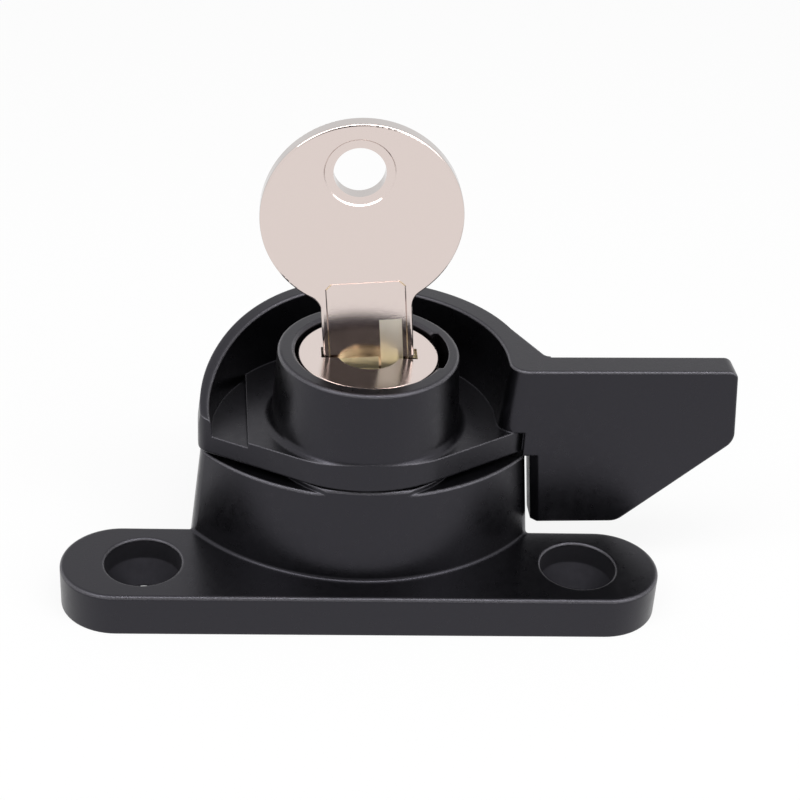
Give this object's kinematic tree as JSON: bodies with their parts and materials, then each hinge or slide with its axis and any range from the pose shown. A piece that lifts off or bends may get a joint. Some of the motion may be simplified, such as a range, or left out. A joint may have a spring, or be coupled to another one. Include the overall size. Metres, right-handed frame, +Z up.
{
  "type": "keyed crescent sash lock",
  "caption": "Crescent lock for sliding window sashes: a drum-shaped base on a screw plate, a half-moon handle with a thumb paddle, and a key that frees the handle.",
  "frame": {"origin": "midway between the two screw holes, on the mounting face", "axes": "+X along the plate towards the thumb paddle at rest, +Y from the plate to the drum, +Z up off the mounting face"},
  "size_m": [0.0864, 0.0397, 0.0628],
  "materials": {
    "black_coat": "satin powder coat",
    "nickel": "polished plate",
    "brass": "milled",
    "spring_steel": "drawn wire",
    "zinc_steel": "zinc plate",
    "nylon": "matt"
  },
  "bodies": {
    "base": {"base_housing": "black_coat", "cylinder_plug": "nickel", "clamp_washer": "zinc_steel", "lock_washer": "zinc_steel", "plug_screw": "zinc_steel", "thrust_washer": "nylon", "wave_washer": "spring_steel", "detent_spring": "spring_steel", "wafer_spring_1": "spring_steel", "wafer_spring_2": "spring_steel", "wafer_spring_3": "spring_steel", "wafer_spring_4": "spring_steel", "wafer_spring_5": "spring_steel"},
    "handle": {"handle": "black_coat"},
    "key": {"key": "nickel"},
    "detent_ball": {"detent_ball": "zinc_steel"},
    "wafer_1": {"wafer_1": "brass"},
    "wafer_2": {"wafer_2": "brass"},
    "wafer_3": {"wafer_3": "brass"},
    "wafer_4": {"wafer_4": "brass"},
    "wafer_5": {"wafer_5": "brass"}
  },
  "joints": [
    {"name": "handle_turn", "type": "hinge", "parent": "base", "child": "handle", "pos_m": [0, 0.0095, 0], "axis": [0, 0, 1], "range_deg": [0, 180]},
    {"name": "key_slide", "type": "slide", "parent": "base", "child": "key", "axis": [-0.0872, 0, 0.9962], "range_m": [0, 0.026]},
    {"name": "ball_click", "type": "slide", "parent": "base", "child": "detent_ball", "axis": [0, 0, 1], "range_m": [0, 0.00035], "deforming": ["detent_spring"]},
    {"name": "wafer_1_slide", "type": "slide", "parent": "base", "child": "wafer_1", "axis": [-1, 0, 0], "range_m": [0, 0.001], "deforming": ["wafer_spring_1"]},
    {"name": "wafer_2_slide", "type": "slide", "parent": "base", "child": "wafer_2", "axis": [-1, 0, 0], "range_m": [0, 0.001], "deforming": ["wafer_spring_2"]},
    {"name": "wafer_3_slide", "type": "slide", "parent": "base", "child": "wafer_3", "axis": [-1, 0, 0], "range_m": [0, 0.001], "deforming": ["wafer_spring_3"]},
    {"name": "wafer_4_slide", "type": "slide", "parent": "base", "child": "wafer_4", "axis": [-1, 0, 0], "range_m": [0, 0.001], "deforming": ["wafer_spring_4"]},
    {"name": "wafer_5_slide", "type": "slide", "parent": "base", "child": "wafer_5", "axis": [-1, 0, 0], "range_m": [0, 0.001], "deforming": ["wafer_spring_5"]}
  ],
  "couplings": [
    {"joint": "wafer_1_slide", "follows": "key_slide", "ratio": 0.038423},
    {"joint": "wafer_2_slide", "follows": "key_slide", "ratio": 0.038423},
    {"joint": "wafer_3_slide", "follows": "key_slide", "ratio": 0.038423},
    {"joint": "wafer_4_slide", "follows": "key_slide", "ratio": 0.038423},
    {"joint": "wafer_5_slide", "follows": "key_slide", "ratio": 0.038423}
  ]
}
